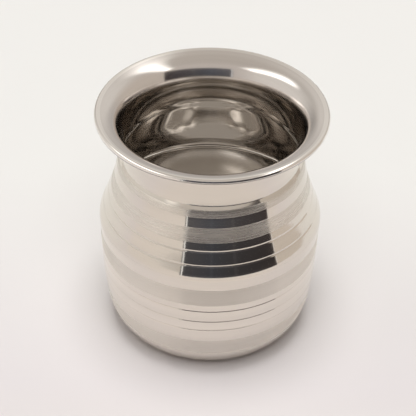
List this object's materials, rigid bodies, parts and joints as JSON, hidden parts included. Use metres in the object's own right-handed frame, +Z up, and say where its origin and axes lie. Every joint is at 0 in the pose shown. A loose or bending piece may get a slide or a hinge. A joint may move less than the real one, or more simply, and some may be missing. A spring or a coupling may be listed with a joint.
{
  "type": "lota",
  "caption": "Small round steel water pot with a flared mouth, rolled rim, waisted neck, sloping shoulder and tapered body with alternate mirror and satin bands.",
  "frame": {"origin": "centre of the base, on the plane the pot stands on", "axes": "+Z up along the axis of revolution, towards the mouth; X and Y are equivalent"},
  "size_m": [0.09, 0.09, 0.0993],
  "materials": {
    "shell_steel": "stainless steel, mirror polished, with satin bands turned round it",
    "weld_steel": "stainless steel weld metal, ground flush and polished outside"
  },
  "bodies": {
    "root": {"lower_shell": "shell_steel", "upper_shell": "shell_steel", "belly_weld": "weld_steel"}
  },
  "joints": []
}
